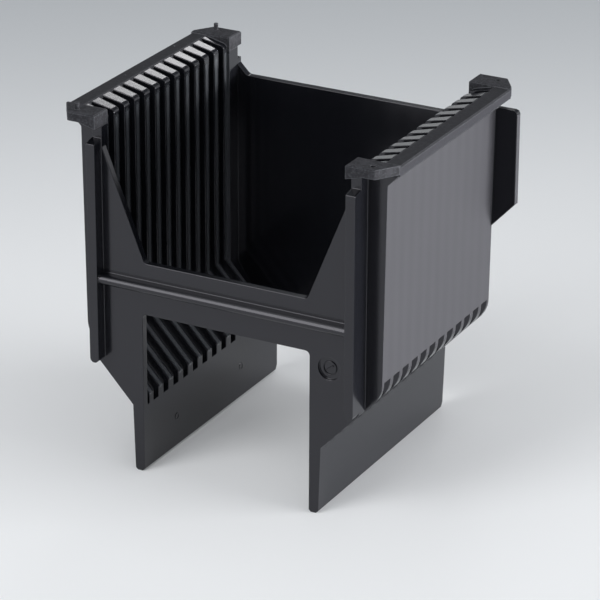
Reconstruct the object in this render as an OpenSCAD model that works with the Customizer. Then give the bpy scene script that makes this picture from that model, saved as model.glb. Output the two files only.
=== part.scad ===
// Wafer cassette for 76 mm wafers, moulded in one piece.
// Millimetres. X runs across the legs, Y from the bar end (front) to the back
// wall, Z up. The middle of the base is the origin.

/* [Slots] */
// number of slots, each holding one wafer
slots = 12; // [6:2:24]
// spacing from one wafer to the next
slot_pitch = 4.7625; // [4.6:0.0125:5.2]
// half the gap between facing tooth tips
tip_half = 33.6; // [33.4:0.05:34]
// half the width between the bottoms of facing slots
pocket_half = 39.4; // [38.9:0.05:39.6]
// thickness of a tooth at its tip
tooth_tip_t = 2.25; // [1.8:0.05:2.4]
// thickness of a tooth where it meets the side wall
tooth_root_t = 3.1; // [2.6:0.05:3.3]
// height of the tooth tops at the side wall, below the rail
root_drop = 0.1; // [0.1:0.1:0.8]
// drop of a tooth top from the side wall to the tip
tooth_drop = 1.3; // [0.5:0.1:1.6]
// rounding of the tooth tips at the top
nose_r = 0.8; // [0.4:0.1:1.2]
// height at which the tooth tips turn inward
bend_z = 31.6; // [30.5:0.1:33]
// slope of the lower slots, degrees from level
lower_angle = 47; // [45:0.5:49]

/* [Side walls] */
// overall height without the locating pins
height = 90.6; // [88:0.1:95]
// thickness of the side wall at its lower edge
wall_t = 0.4; // [0.3:0.05:0.8]
// growth of that half width up to the top flange
wall_draft = 0.6; // [0:0.05:0.8]
// windows ending above the rounding of the lower ribs
window_over = 0.15; // [0:0.05:1]
// width of a window between two ribs on the outside
window_w = 3.2; // [2:0.1:3.4]
// width of a window where it breaks into the slot
window_in_w = 1; // [0.6:0.1:1.6]
// reach of a window into the slot
window_in = 1.8; // [1:0.1:2.4]
// rounding where the lower ribs leave the side wall
rib_round_r = 7; // [4:0.5:9]
// solid end of a side wall beyond the last slot
wall_over = 0.25; // [0.1:0.05:0.5]

/* [Top flange] */
// reach of the flange beyond the lower edge of the side wall
flange_out = 4; // [3:0.1:5]
// top of the flange below the heads
rail_drop = 0.45; // [0.2:0.05:0.8]
// thickness of the flange and of the outer end of a head
flange_t = 2.3; // [2:0.1:2.8]
// thickness of the inner end of a head
head_t = 3.4; // [3:0.1:3.8]
// height of the sloping part under the flange
flare_h = 3.1; // [2:0.1:3.6]
// reach of a head beyond the tooth tips, into the cassette
head_in = 0.75; // [0.55:0.05:1]
// length of a head
head_len = 6; // [5:0.1:6.2]
// reach of a head beyond the middle of the end slot wall
head_over = 6.6; // [6.3:0.1:7]
// cut corner of a head across the cassette
head_cut_x = 3.5; // [2:0.1:4.5]
// cut corner of a head along the cassette
head_cut_y = 5.4; // [3:0.1:5.8]
// easing of the upper edges of a head
head_ease = 0.3; // [0.1:0.05:0.4]
// radius of the two locating pins
pin_r = 0.55; // [0.4:0.05:0.9]
// height of the two locating pins
pin_h = 1.7; // [1:0.1:2.5]
// clearance of the two locating holes around such a pin
pin_gap = 0.1; // [0.05:0.05:0.2]
// depth of the two locating holes
hole_depth = 1.9; // [1.8:0.1:2.1]
// distance of pins and holes from the edge of the flange
dowel_side = 5; // [4.8:0.1:6]
// distance of pins and holes from the ends of the heads
dowel_in = 2.2; // [2:0.1:3]

/* [Ends] */
// thickness of the front and back panels
panel_t = 1.8; // [1.5:0.1:2.6]
// how far the posts and heads stand out from the front panel
post_d = 3.1; // [2.8:0.1:3.3]
// inner faces of the posts behind the inner ends of the heads
post_in = 0.2; // [0.1:0.05:0.4]
// width of a post
post_w = 2.35; // [2:0.05:3]
// post tops at their front edge below the tops of the heads
post_drop = 7.2; // [6.2:0.1:8]
// rise of a post top towards the panel
post_rise = 0.6; // [0:0.1:1]
// height of the lower end of the posts
post_low_z = 27.5; // [26:0.1:30]
// middle of the bar between the posts below the floor of the cut-out
bar_drop = 5.5; // [3:0.05:7]
// height of the bar section
bar_h = 2.4; // [1.4:0.1:2.6]
// bar front below the post fronts
bar_in = 0.4; // [0.2:0.1:1]
// half width of the floor of the front cut-out
cut_half = 21.8; // [20:0.1:24]
// height of the floor of the front cut-out
cut_z = 54.55; // [53:0.1:58]
// rounding of the lower corners of the front cut-out
cut_r = 0.6; // [0.4:0.1:2]
// end of the sloping sides of the front cut-out below the heads
cut_drop = 8.6; // [7:0.1:10]
// back panel short of the heads
back_in = 0.15; // [0.1:0.05:0.5]
// level top edge of the back panel below the heads
back_drop = 10.7; // [9:0.1:12]
// width of the slope at each end of that edge
back_slope_w = 2.65; // [2:0.05:5]
// height of that slope
back_slope_h = 2.7; // [2:0.1:3.4]
// lower edge of the back panel between the legs
back_low_z = 17; // [14:0.5:22]
// radius of the round recess in the front panel
mark_r = 2.9; // [2:0.1:4]
// depth of that recess
mark_d = 0.6; // [0.2:0.1:1]
// middle of the recess beyond the inner face of a leg
mark_in = 5.1; // [4:0.1:6]
// middle of the recess below the web between the legs
mark_drop = 3.3; // [2:0.1:6]

/* [Legs] */
// half width between the legs
leg_in_half = 22.5; // [22:0.05:23]
// thickness of a leg at the floor
leg_t = 2.45; // [2:0.05:2.8]
// growth of the leg thickness up to its corner
leg_draft = 0.5; // [0:0.1:0.8]
// height of the web in the front panel, between opening and cut-out
web_h = 13.1; // [10:0.05:16]
// corner radius of that opening
gap_r = 1.2; // [1:0.1:4]
// height of the lower ribs, measured upright
rib_h = 5.76; // [5:0.02:7]
// lower ends of the slots above the corner of a leg
notch_rise = 0.1; // [0.1:0.1:1]
// bevel of the rear lower corner of a leg
heel = 1; // [0.5:0.1:3]

/* [Handles] */
// reach of a handle plate beyond the lower edge of the side wall
wing_out = 6.4; // [5:0.1:10]
// thickness of a handle plate
wing_t = 1.7; // [1.4:0.1:2.4]
// reach of a handle plate beyond the end of the side wall
wing_over = 1.2; // [0.5:0.1:1.4]
// top of a handle plate below the tops of the heads
wing_drop = 5.3; // [4.6:0.1:6]
// height of the outer edge of a handle plate
wing_h = 23.9; // [18:0.1:28]
// corner of a handle plate
wing_r = 1; // [0.5:0.1:3]

/* [Hidden] */
$fn = 48;
rail_z = height - rail_drop;
root_z = rail_z - root_drop;
end_y = slots * slot_pitch / 2;
wall_y = end_y + wall_over;
half_len = end_y + head_over;
head_y = half_len - head_len;
front_y = -half_len + post_d;
back_y = half_len - back_in;
wall_half = pocket_half + wall_t;
wall_top = wall_half + wall_draft;
flange_half = wall_half + flange_out;
wing_half = wall_half + wing_out;
head_half = tip_half - head_in;
post_in_half = head_half + post_in;
post_half = post_in_half + post_w;
post_r = post_w / 2;
dowel_x = flange_half - dowel_side;
slope = tan(lower_angle);
corner_x = leg_in_half + leg_t + leg_draft;
leg_corner_z = in_z(corner_x) - rib_h;
notch_z = leg_corner_z + notch_rise;
leg_gap_z = cut_z - web_h;
bar_z = cut_z - bar_drop;
post_top_z = height - post_drop;
back_z = height - back_drop;
wing_top_z = height - wing_drop;
wing_low_z = wing_top_z - wing_h;
lip = 0.4;
lap = 0.1;

// ---- lines across the cassette, right-hand half ----

// height of the outer line of the lower ribs
function out_z(x) = leg_corner_z + (x - corner_x) * slope;
// height of the inner line of the lower ribs
function in_z(x) = bend_z + (x - tip_half) * slope;

// rounding between the side wall and the lower ribs, from the wall down
arc_x = wall_half - rib_round_r;
arc_z = out_z(wall_half) + rib_round_r * tan((90 - lower_angle) / 2);
wall_z = arc_z + window_over;
rib_arc = [for (k = [0:6]) let (a = -k * (90 - lower_angle) / 6)
    [arc_x + rib_round_r * cos(a), arc_z + rib_round_r * sin(a)]];

// an X-Z outline drawn out along Y
module along(y0, y1) {
    translate([0, y1, 0]) rotate([90, 0, 0]) linear_extrude(y1 - y0) children();
}

// shape shared by all teeth: leg, lower slope, tip, sloping top, wall
module tooth_outline() {
    polygon(concat([[wall_half, arc_z + 1]], rib_arc, [
        [corner_x, leg_corner_z], [corner_x, notch_z - 1], [leg_in_half, notch_z - 1],
        [leg_in_half, in_z(leg_in_half)], [tip_half, bend_z],
        [tip_half, root_z - tooth_drop - nose_r],
        [tip_half + 0.3 * nose_r, root_z - tooth_drop - 0.3 * nose_r],
        [tip_half + nose_r, root_z - tooth_drop + 0.1],
        [pocket_half, root_z], [wall_half, root_z]]));
}

// teeth seen from above, thinner towards the tips
module teeth_plan() {
    for (k = [1:slots - 1]) translate([0, -end_y + k * slot_pitch])
        polygon([[wall_half + 1, -tooth_root_t / 2], [wall_half + 1, tooth_root_t / 2],
                 [pocket_half, tooth_root_t / 2], [tip_half, tooth_tip_t / 2],
                 [leg_in_half - 1, tooth_tip_t / 2], [leg_in_half - 1, -tooth_tip_t / 2],
                 [tip_half, -tooth_tip_t / 2], [pocket_half, -tooth_root_t / 2]]);
}

// windows seen from above, wider towards the outside
module windows_plan() {
    for (k = [1:slots]) translate([0, -end_y + (k - 0.5) * slot_pitch])
        polygon([[pocket_half - window_in, -window_in_w / 2],
                 [pocket_half - window_in, window_in_w / 2],
                 [wall_half, window_w / 2], [wall_half + 1, window_w / 2],
                 [wall_half + 1, -window_w / 2], [wall_half, -window_w / 2]]);
}

module teeth() {
    difference() {
        intersection() {
            along(-wall_y, wall_y) tooth_outline();
            linear_extrude(height) teeth_plan();
        }
        windows();
    }
}

module windows() {
    translate([0, 0, arc_z - rib_round_r]) linear_extrude(wall_z - arc_z + rib_round_r)
        windows_plan();
}

// tooth closing the slots at one end, with its top reaching the head
module end_tooth() {
    difference() {
        intersection() {
            along(end_y - 2, head_y) tooth_outline();
            linear_extrude(height) polygon([
                [leg_in_half - 1, end_y - tooth_tip_t / 2], [tip_half, end_y - tooth_tip_t / 2],
                [pocket_half, end_y - tooth_root_t / 2],
                [wall_half + 1, end_y - tooth_root_t / 2], [wall_half + 1, wall_y],
                [post_half, wall_y], [post_half, head_y], [leg_in_half - 1, head_y]]);
        }
        windows();
    }
    along(wall_y - 0.1, head_y + 0.1) intersection() {
        tooth_outline();
        translate([post_half - wall_t, height - flange_t])
            square([pocket_half - post_half + 2 * wall_t, flange_t]);
    }
}

// side wall between slots and outside
module wall() {
    along(-wall_y, wall_y) polygon([
        [pocket_half, wall_z], [wall_half, wall_z], [wall_top, rail_z - flange_t - flare_h],
        [flange_half - lip, rail_z - flange_t], [flange_half - lip, rail_z - flange_t + 0.1],
        [pocket_half, rail_z - flange_t + 0.1]]);
}

// flange between the heads, its inner edge eased
module rail() {
    along(-head_y - 0.25, head_y + 0.25) polygon([
        [pocket_half, rail_z - flange_t], [flange_half, rail_z - flange_t],
        [flange_half, rail_z - lip], [flange_half - lip, rail_z],
        [pocket_half + lip, rail_z], [pocket_half, rail_z - lip]]);
}

// one head with eased upper edges, drawn at the back end
module head() {
    e = head_ease;
    intersection() {
        along(head_y, half_len) polygon([
            [head_half, height - head_t], [post_half + 2, height - flange_t],
            [flange_half, height - flange_t], [flange_half, height - e],
            [flange_half - e, height], [head_half + e, height], [head_half, height - e]]);
        linear_extrude(height + 1) polygon([
            [head_half, half_len], [flange_half - head_cut_x - e, half_len],
            [flange_half - head_cut_x, half_len - e / 2],
            [flange_half, half_len - head_cut_y], [flange_half, head_y],
            [head_half, head_y]]);
        translate([head_half, 0, height]) rotate([90, 0, 90])
            linear_extrude(flange_half - head_half)
            polygon([[head_y, -head_t], [half_len, -head_t], [half_len, -e],
                     [half_len - e, 0], [head_y + e, 0], [head_y, -e]]);
    }
}

module post() {
    along(-half_len, front_y) translate([post_in_half + post_r, post_low_z + post_r])
        circle(post_r);
    translate([post_in_half, 0, 0]) rotate([90, 0, 90]) linear_extrude(2 * post_r)
        polygon([[-half_len, post_low_z + post_r], [front_y, post_low_z + post_r],
                 [front_y, post_top_z + post_rise], [-half_len, post_top_z]]);
}

// leg from the floor to its corner, rounded underneath
module leg() {
    r = 0.45 * leg_t;
    difference() {
        along(front_y, back_y) polygon([
            [leg_in_half, 0.5 * r], [leg_in_half + 0.5 * r, 0],
            [leg_in_half + leg_t - 0.5 * r, 0], [leg_in_half + leg_t, 0.5 * r],
            [corner_x, leg_corner_z], [leg_in_half, notch_z]]);
        translate([leg_in_half - 1, back_y, 0]) rotate([90, 0, 90]) linear_extrude(leg_t + 3)
            polygon([[-heel, -1], [1, -1], [1, heel + 0.8], [0, heel + 0.8], [-heel, 0]]);
    }
}

// handle plate at the back end of the side wall
module wing() {
    y = wall_y + wing_over;
    along(y - wing_t, y) polygon([
        [pocket_half, wing_top_z], [wing_half - wing_r, wing_top_z],
        [wing_half - 0.3 * wing_r, wing_top_z - 0.3 * wing_r], [wing_half, wing_top_z - wing_r],
        [wing_half, wing_low_z], [wall_half, wing_low_z - (wing_half - wall_half) * slope],
        [pocket_half, wing_low_z - (wing_half - wall_half) * slope]]);
}

// half of an end panel, without its cut-outs, joined to the end tooth
module end_fill(y0, y1) {
    along(y0, y1) polygon([
        [leg_in_half + 1.8, notch_z - 0.2], [corner_x, leg_corner_z],
        [post_half, out_z(post_half)], [post_half, height - flange_t],
        [head_half, height - head_t + 0.1], [head_half, in_z(head_half) - 1.4]]);
}

module half() {
    wall();
    rail();
    head();
    mirror([0, 1, 0]) head();
    teeth();
    end_tooth();
    mirror([0, 1, 0]) end_tooth();
    leg();
    wing();
    post();
    end_fill(front_y + panel_t - lap, lap - head_y);
    end_fill(head_y - lap, back_y - panel_t + lap);
}

// outline of an end panel with its outer slopes
module panel_outline(low_z) {
    polygon([[-corner_x, leg_corner_z], [-post_half, out_z(post_half)],
             [-post_half, height - flange_t], [post_half, height - flange_t],
             [post_half, out_z(post_half)], [corner_x, leg_corner_z],
             [leg_in_half + 0.5, low_z], [-leg_in_half - 0.5, low_z]]);
}

// trapezium open at the top, its lower corners eased by r
module notch(half, z, top_half, top_z, r) {
    lean = (top_half - half) / (top_z - z);
    polygon([[-half + r, z], [half - r, z], [half - 0.25 * r, z + 0.3 * r],
             [half + lean * r, z + r], [top_half, top_z], [top_half, height + 1],
             [-top_half, height + 1], [-top_half, top_z], [-half - lean * r, z + r],
             [-half + 0.25 * r, z + 0.3 * r]]);
}

module front_panel() {
    along(front_y, front_y + panel_t) difference() {
        panel_outline(leg_corner_z);
        notch(cut_half, cut_z, head_half, height - cut_drop, cut_r);
        translate([-leg_in_half, 0]) square([2 * leg_in_half, leg_gap_z - gap_r]);
        translate([-leg_in_half + gap_r, 0]) square([2 * (leg_in_half - gap_r), leg_gap_z]);
        for (s = [-1, 1]) translate([s * (leg_in_half - gap_r), leg_gap_z - gap_r])
            circle(gap_r);
    }
}

module back_panel() {
    along(back_y - panel_t, back_y) difference() {
        panel_outline(back_low_z);
        notch(head_half - back_slope_w, back_z, head_half, back_z + back_slope_h, lip);
        translate([-flange_half, post_top_z + post_rise]) square([2 * flange_half, height]);
    }
}

module bar() {
    y = -half_len + bar_in + bar_h / 2;
    translate([-post_in_half - 0.5, y, bar_z]) rotate([0, 90, 0])
        cylinder(h = 2 * post_in_half + 1, r = bar_h / 2);
    translate([-post_in_half - 0.5, y, bar_z - bar_h / 2])
        cube([2 * post_in_half + 1, front_y - y + 0.1, bar_h]);
}

module cassette() {
    color([0.05, 0.05, 0.055]) difference() {
        union() {
            half();
            mirror([1, 0, 0]) half();
            front_panel();
            back_panel();
            bar();
            for (s = [-1, 1]) translate([-dowel_x, s * (half_len - dowel_in), height - 0.5])
                cylinder(h = pin_h + 0.5, r = pin_r);
        }
        for (s = [-1, 1]) translate([dowel_x, s * (half_len - dowel_in), height - hole_depth])
            cylinder(h = hole_depth + 1, r = pin_r + pin_gap);
        translate([leg_in_half + mark_in, front_y + mark_d, leg_gap_z - mark_drop])
            rotate([90, 0, 0]) cylinder(h = mark_d + 1, r = mark_r);
    }
}

cassette();
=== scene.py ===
import math

import bmesh
import bpy
from mathutils import Matrix, Vector


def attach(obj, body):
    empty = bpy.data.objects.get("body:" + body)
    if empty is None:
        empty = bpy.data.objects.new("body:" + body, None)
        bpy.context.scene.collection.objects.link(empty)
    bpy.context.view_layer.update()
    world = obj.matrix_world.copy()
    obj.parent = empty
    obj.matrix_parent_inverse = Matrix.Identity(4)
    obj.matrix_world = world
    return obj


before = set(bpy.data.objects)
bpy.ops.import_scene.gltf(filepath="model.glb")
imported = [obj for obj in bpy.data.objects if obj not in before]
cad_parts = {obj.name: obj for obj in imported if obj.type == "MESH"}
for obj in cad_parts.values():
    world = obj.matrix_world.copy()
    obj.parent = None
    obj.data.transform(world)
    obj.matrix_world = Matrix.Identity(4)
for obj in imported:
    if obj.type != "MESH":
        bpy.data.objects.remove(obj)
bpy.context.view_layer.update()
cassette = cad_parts["cassette"]

# ---------------------------------------------------------------- moulded body
# The cassette is one injection moulding in black, static-dissipative plastic:
# two slotted side walls, two end panels, legs, heads, flanges and handles.
# Its faces are satin from a fine-ground tool; the sides and tops are left matt.

# sizes in millimetres: the slots' pitch, half the width between the tooth tips,
# and the height and the slope at which the teeth bend inward
SLOT_PITCH = 4.7625
TIP_HALF, BEND_Z, SLOPE = 33.6, 31.6, math.radians(47)

# where one finish changes over to the next, in millimetres
FLANGE_X, SIDE_X = (39.3, 39.5), (39.3, 39.7)
HEAD_Y, FLANGE_Y, TOOTH_END_Y = (28, 29), (28.9, 29.1), (29.2, 29.6)
TOOTH_FOOT_Z, TOOTH_TOP_Z, TOP_Z = (12, 14), (86, 88), (86.8, 87.4)
NOSE_IN, NOSE_HALF_WIDTH = (0.05, 0.75), (0.3, 1)

# cosines: of the faces that look straight out, and of an edge that leans off them
FACING_OUT, EDGE_LEAN = (0.95, 0.99), (0.995, 0.93)

# the plastic's colours: its own; a grey painted on the sides as a sheen of
# reflected lamp light, which also mottles the tops; and a paler tone painted as
# highlights on the tooth noses and top edges, which also speckles the tops
BLACK_LOW = (0.0035, 0.0038, 0.0052)
BLACK_HIGH = (0.0075, 0.008, 0.0105)
SIDE_SHEEN_AND_TOP_MOTTLE = (0.02, 0.02, 0.024)
HIGHLIGHT_AND_SPECKLE = (0.05, 0.054, 0.06)

# roughness of the satin faces, and what each other finish adds or takes away
SATIN, ADD_SIDE, ADD_NOSE, ADD_TOP, TAKE_AT_EDGE = 0.12, 0.45, 0.14, 0.68, 0.3
ADD_FLOW, ADD_CLOUD, ADD_WAVE = 0.06, 0.04, 0.06

# rounding of the edges and height of the grain, in metres
EDGE_ROUND, GRAIN_HEIGHT = 0.00035, 0.00004
PLASTIC_IOR, VIOLET_GLOSS = 1.53, (0.94, 0.93, 1, 1)
MM_IN_METRE = 1000


class Wire:
    """One socket of a material's node tree, used in plain sums."""

    def __init__(self, tree, socket=None):
        self.tree, self.socket = tree, socket

    def node(self, kind, settings=None, values=None, out=0):
        """A node of that kind: its settings first, then its values or links."""
        made = self.tree.nodes.new("ShaderNode" + kind)
        for name, value in (settings or {}).items():
            setattr(made, name, value)
        for name, value in (values or {}).items():
            socket = made.inputs[name]
            if isinstance(value, Wire):
                self.tree.links.new(value.socket, socket)
            else:
                socket.default_value = value
        return Wire(self.tree, made.outputs[out] if made.outputs else None)

    def maths(self, kind, *values):
        return self.node("Math", {"operation": kind}, dict(enumerate(values)))

    def __add__(self, other):
        return self.maths("ADD", self, other)

    def __radd__(self, other):
        return self.maths("ADD", other, self)

    def __sub__(self, other):
        return self.maths("SUBTRACT", self, other)

    def __rsub__(self, other):
        return self.maths("SUBTRACT", other, self)

    def __mul__(self, other):
        return self.maths("MULTIPLY", self, other)

    def __rmul__(self, other):
        return self.maths("MULTIPLY", other, self)

    def __abs__(self):
        return self.maths("ABSOLUTE", self)

    def larger(self, other):
        return self.maths("MAXIMUM", self, other)

    def step(self, low, high):
        """0 below low, 1 above high, smooth between."""
        return self.node("MapRange", {"interpolation_type": "SMOOTHSTEP"},
                         {"Value": self, "From Min": low, "From Max": high})

    def vector(self, kind, first, second, out="Vector"):
        return self.node("VectorMath", {"operation": kind}, {0: first, 1: second}, out)

    def axes(self, way, names):
        """The named parts of a vector, one wire for each."""
        return [self.node("SeparateXYZ", values={0: way}, out=name) for name in names]

    def noise(self, place, scale, detail):
        return self.node("TexNoise",
                         values={"Vector": place, "Scale": scale, "Detail": detail})

    def colour(self, mask, low, high):
        """A colour between low and high, by the mask."""
        low, high = (c if isinstance(c, Wire) else (*c, 1) for c in (low, high))
        return self.node("Mix", {"data_type": "RGBA"},
                         {"Factor": mask, 6: low, 7: high}, out=2)


def new_material(name):
    """A material with an empty tree, ready for wiring."""
    material = bpy.data.materials.new(name)
    material.use_nodes = True
    material.node_tree.nodes.clear()
    return material, Wire(material.node_tree)


def moulded_plastic():
    """Black plastic: satin faces, rougher sides and tops, a painted sheen on the sides,
    painted highlights on the tooth noses and top edges.
    """
    material, w = new_material("moulded_black_plastic")
    place = w.node("TexCoord", out="Object")
    mm = w.node("VectorMath", {"operation": "SCALE"}, {0: place, "Scale": MM_IN_METRE})
    across, along, height = w.axes(mm, "XYZ")
    rounded = w.node("Bevel", {"samples": 8}, {"Radius": EDGE_ROUND})
    normal = w.node("NewGeometry", out="Normal")
    facing_x, = w.axes(normal, "X")

    # each finish has its own stretch of the moulding
    flange = abs(across).step(*FLANGE_X).larger(abs(along).step(*FLANGE_Y))
    top = height.step(*TOP_Z) * flange
    head = top * abs(along).step(*HEAD_Y)
    side = abs(facing_x).step(*FACING_OUT) * abs(across).step(*SIDE_X)
    teeth = ((1 - abs(across).step(*FLANGE_X)) * (1 - abs(along).step(*TOOTH_END_Y))
             * height.step(*TOOTH_FOOT_Z))

    # the noses of the teeth are painted paler as a highlight, down the wall and round
    # its bend
    inward = abs(across) - TIP_HALF
    below = inward * math.sin(SLOPE) - (height - BEND_Z) * math.cos(SLOPE)
    nose = (teeth * (1 - inward.larger(below).step(*NOSE_IN))
            * (1 - height.step(*TOOTH_TOP_Z))
            * (1 - w.maths("PINGPONG", along, SLOT_PITCH / 2).step(*NOSE_HALF_WIDTH)))

    # unevenness of the plastic, and a faint flow of the melt up the walls
    cloud = w.noise(mm, scale=0.05, detail=3)
    grain = w.noise(mm, scale=2.6, detail=3)
    fine = w.noise(mm, scale=7, detail=2)
    mottle = w.noise(mm, scale=0.8, detail=4)
    speckle = w.noise(mm, scale=1.9, detail=3)
    flow = w.noise(w.vector("MULTIPLY", mm, (0.35, 0.35, 0.05)), scale=1, detail=4)
    streak = w.noise(w.vector("MULTIPLY", mm, (0, 1.3, 0.02)), scale=1, detail=3)

    # sink lines opposite the teeth show as faint upright bands on the sides
    bands = w.maths("SINE", (along + SLOT_PITCH / 2) * (math.tau / SLOT_PITCH))
    wave = side * (bands * 0.3 + streak)

    # the sides are painted greyer in streaks, a painted sheen of lamp light reflected
    # off them, and the rough tops are mottled greyer
    tone = w.colour(cloud * 0.6 + flow * 0.4, BLACK_LOW, BLACK_HIGH)
    sheen_and_mottle = (side * (0.6 + streak * 0.6)).larger(
        (top * 0.3 + head * 0.7) * mottle.step(0.4, 0.62))
    tone = w.colour(sheen_and_mottle, tone, SIDE_SHEEN_AND_TOP_MOTTLE)

    # edges are smoother than the faces and painted paler as a highlight; the tops are
    # also speckled paler
    edge_mask = w.vector("DOT_PRODUCT", rounded, normal, "Value").step(*EDGE_LEAN)
    pale = nose.larger(top * edge_mask * 0.7
                       + (top * 0.2 + head * 0.4) * speckle.step(0.5, 0.68))
    tone = w.colour(pale, tone, HIGHLIGHT_AND_SPECKLE)

    rough = (SATIN + flow * ADD_FLOW + cloud * ADD_CLOUD + side * ADD_SIDE
             + nose * ADD_NOSE + wave * ADD_WAVE + top * (ADD_TOP - edge_mask * TAKE_AT_EDGE))
    relief = (grain * 0.5 + mottle) * top + fine * (0.03 + teeth * 0.13)
    bump = w.node("Bump", values={"Strength": 0.55, "Distance": GRAIN_HEIGHT,
                                  "Height": relief, "Normal": rounded})
    shader = w.node("BsdfPrincipled", values={
        "Base Color": tone, "Roughness": rough, "Normal": bump, "IOR": PLASTIC_IOR,
        "Specular Tint": VIOLET_GLOSS})
    w.node("OutputMaterial", values={"Surface": shader})
    return material


cassette.data.materials.clear()
cassette.data.materials.append(moulded_plastic())

# ---------------------------------------------------------------- mould marks
# What the tool leaves on the moulding: faint raised rings where ejector pins
# pushed on a leg, nubs where gates were cut off the tops, and a plain insert
# at the bottom of the round recess in the front panel.

# millimetres: how deep a mark's foot goes into its face, and where the faces are
SUNK = 0.05
LEG_FACE, RAIL_TOP, HEAD_TOP = -22.5, 90.15, 90.6
RECESS_FLOOR = (27.6, -31.475, 38.15)

# which way a mark's face looks
TO_RIGHT = Matrix.Rotation(math.radians(90), 4, "Y")
TO_FRONT = Matrix.Rotation(math.radians(90), 4, "X")
UPRIGHT = Matrix.Identity(4)
POINTER_TURN = Matrix.Rotation(math.radians(38), 4, "Z")


def ring(inner, outer, height, chamfer):
    """A flat ring around Z, standing on Z = 0."""
    mesh = bmesh.new()
    corners = [mesh.verts.new((x, 0, z)) for x, z in (
        (inner, -SUNK), (outer, -SUNK),
        (outer - chamfer, height), (inner + chamfer, height))]
    edges = [mesh.edges.new((corners[n - 1], corners[n])) for n in range(4)]
    bmesh.ops.spin(mesh, geom=corners + edges, axis=(0, 0, 1), cent=(0, 0, 0),
                   angle=math.tau, steps=40, use_merge=True)
    return mesh


def nub(radius, height, chamfer):
    """A low round pad, standing on Z = 0."""
    mesh = bmesh.new()
    bmesh.ops.create_cone(mesh, cap_ends=True, segments=16, radius1=radius,
                          radius2=radius - chamfer, depth=height + SUNK,
                          matrix=Matrix.Translation((0, 0, (height - SUNK) / 2)))
    return mesh


def pointer(length, width, height, chamfer):
    """A low bar along X, standing on Z = 0."""
    mesh = bmesh.new()
    middle = Matrix.Translation((0, 0, (height - SUNK) / 2))
    size = Matrix.Diagonal((length, width, height + SUNK, 1))
    bmesh.ops.create_cube(mesh, size=1, matrix=middle @ size)
    top = [e for e in mesh.edges if all(v.co.z > 0 for v in e.verts)]
    bmesh.ops.bevel(mesh, geom=top, offset=chamfer, offset_type="OFFSET", segments=2,
                    profile=0.5, affect="EDGES", material=-1)
    return mesh


def put_in_scene(name, mesh):
    """The scene's object for a finished mesh."""
    data = bpy.data.meshes.new(name)
    mesh.to_mesh(data)
    mesh.free()
    piece = bpy.data.objects.new(name, data)
    bpy.context.scene.collection.objects.link(piece)
    return piece


def seat(name, mesh, place, turn):
    """Puts a mark, made in millimetres on Z = 0, on its face of the moulding."""
    bmesh.ops.recalc_face_normals(mesh, faces=mesh.faces)
    to_place = Matrix.Scale(1 / MM_IN_METRE, 4) @ Matrix.Translation(place) @ turn
    bmesh.ops.transform(mesh, verts=mesh.verts, matrix=to_place)
    piece = put_in_scene(name, mesh)
    piece.data.materials.append(cassette.data.materials[0])
    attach(piece, "root")


for name, along, up in (("front", -16.3, 8.2), ("back", 15.95, 8.8)):
    seat("ejector_mark_" + name, ring(inner=0.6, outer=1, height=0.09, chamfer=0.08),
         (LEG_FACE, along, up), TO_RIGHT)

for name, place in (("rail_front", (-41.96, -5.97, RAIL_TOP)),
                    ("rail_back", (-42.39, 18.24, RAIL_TOP)),
                    ("head", (39.99, -29.5, HEAD_TOP))):
    seat("gate_nub_" + name, nub(radius=0.4, height=0.14, chamfer=0.16), place, UPRIGHT)

seat("insert_ring", ring(inner=1.5, outer=1.85, height=0.25, chamfer=0.08),
     RECESS_FLOOR, TO_FRONT)
seat("insert_pointer", pointer(length=2.1, width=0.4, height=0.25, chamfer=0.08),
     RECESS_FLOOR, TO_FRONT @ POINTER_TURN)

# ------------------------------------------------------------- floor and light
# A pale paper sheet that runs on past the view, in a pale room. A large soft
# box hangs overhead, a tall one stands in front, a long low one at the right
# and a small one behind to the left.

# the sheet's colours at the front and at the back, and where the change lies,
# in metres towards the back; the darker back is painted shade, where the lamps' light
# falls off
SHEET_NEAR, SHEET_FAR = (0.7, 0.71, 0.72), (0.32, 0.34, 0.36)
TO_THE_BACK, GRADE = (-0.47, 0.88, 0), (0.02, 0.42)
SHEET_ROUGH, SHEET_GLOSS, SHEET_HALF = 0.7, 0.2, 6
GLOW, GLOW_COLOUR = 0.12, (0.96, 0.98, 1)

# the room's colours at the floor's far edge and overhead, and where they change
ROOM_LOW, ROOM_HIGH = (0.96, 0.98, 1), (0.15, 0.16, 0.175)
ROOM_GRADE = (0.08, 0.26)
MIDDLE = Vector((0, 0, 0.045))


def pale_floor():
    """Paper, with painted shade darkening it towards the back."""
    material, w = new_material("pale_floor")
    place = w.node("TexCoord", out="Object")
    depth = w.vector("DOT_PRODUCT", place, TO_THE_BACK, "Value")
    tone = w.colour(depth.step(*GRADE), SHEET_NEAR, SHEET_FAR)
    # seen directly or mirrored, the sheet glows a little, which softens the shadow
    seen = w.node("LightPath", out="Is Camera Ray").larger(
        w.node("LightPath", out="Is Glossy Ray"))
    shader = w.node("BsdfPrincipled", values={
        "Base Color": tone, "Roughness": SHEET_ROUGH, "Specular IOR Level": SHEET_GLOSS,
        "Emission Color": (*GLOW_COLOUR, 1), "Emission Strength": seen * GLOW})
    w.node("OutputMaterial", values={"Surface": shader})
    return material


def softbox(name, azimuth, elevation, distance, size, power):
    """A rectangular lamp around the middle, at a compass angle from +Y to +X."""
    lamp = bpy.data.lights.new(name, "AREA")
    lamp.shape = "RECTANGLE"
    lamp.size, lamp.size_y = size
    lamp.energy = power
    box = bpy.data.objects.new(name, lamp)
    a, e = math.radians(azimuth), math.radians(elevation)
    way = Vector((math.sin(a) * math.cos(e), math.cos(a) * math.cos(e), math.sin(e)))
    box.location = MIDDLE + way * distance
    box.rotation_mode = "QUATERNION"
    box.rotation_quaternion = way.to_track_quat("Z", "Y")
    bpy.context.scene.collection.objects.link(box)


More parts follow.
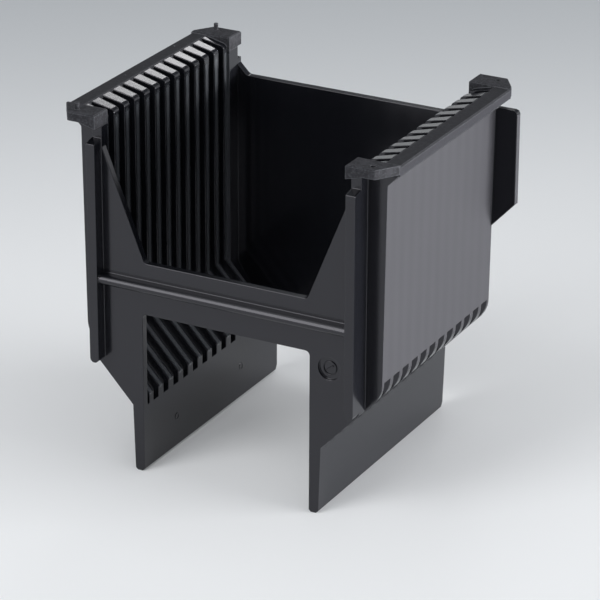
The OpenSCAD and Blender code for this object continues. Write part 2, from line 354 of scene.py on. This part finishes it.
def pale_room():
    """Bright at the level of the floor's far edge, darker overhead."""
    world = bpy.data.worlds.new("room")
    world.use_nodes = True
    world.node_tree.nodes.clear()
    w = Wire(world.node_tree)
    up, = w.axes(w.node("TexCoord", out="Generated"), "Z")
    light = w.node("Background", values={
        "Color": w.colour(up.step(*ROOM_GRADE), ROOM_LOW, ROOM_HIGH), "Strength": 1})
    w.node("OutputWorld", values={"Surface": light})
    return world


sheet = bmesh.new()
bmesh.ops.create_grid(sheet, x_segments=1, y_segments=1, size=SHEET_HALF)
floor = put_in_scene("floor", sheet)
floor.data.materials.append(pale_floor())

softbox("overhead", azimuth=100, elevation=82, distance=1.4, size=(2, 2), power=11.5)
softbox("front", azimuth=206, elevation=33, distance=1.3, size=(0.6, 1.3), power=10)
softbox("key", azimuth=76, elevation=3.5, distance=1.3, size=(1, 0.16), power=37)
softbox("rim", azimuth=-20, elevation=30.5, distance=1.2, size=(0.22, 0.14), power=0.6)

bpy.context.scene.world = pale_room()

# ---------------------------------------------------------------------- camera
# A long lens off the front right corner, looking down on the cassette and
# turned by a quarter of a degree about its own line of sight.
LENS, SENSOR = 200.98, 36
CAMERA_PLACE = (0.3534676, -0.6580382, 0.3590326)
AZIMUTH, ELEVATION, ROLL = (math.radians(a) for a in (28.0513, 23.2796, 0.2514))

camera = bpy.data.objects.new("camera", bpy.data.cameras.new("camera"))
camera.data.lens = LENS
camera.data.sensor_width = SENSOR
camera.data.clip_start, camera.data.clip_end = 0.05, 20
back = Vector((math.sin(AZIMUTH) * math.cos(ELEVATION),
               -math.cos(AZIMUTH) * math.cos(ELEVATION), math.sin(ELEVATION)))
right = Vector((math.cos(AZIMUTH), math.sin(AZIMUTH), 0))
up = back.cross(right)
turned = Matrix((right * math.cos(ROLL) + up * math.sin(ROLL),
                 up * math.cos(ROLL) - right * math.sin(ROLL), back)).transposed()
camera.matrix_world = Matrix.Translation(CAMERA_PLACE) @ turned.to_4x4()
bpy.context.scene.collection.objects.link(camera)
bpy.context.scene.camera = camera
bpy.context.scene.view_settings.view_transform = "Standard"
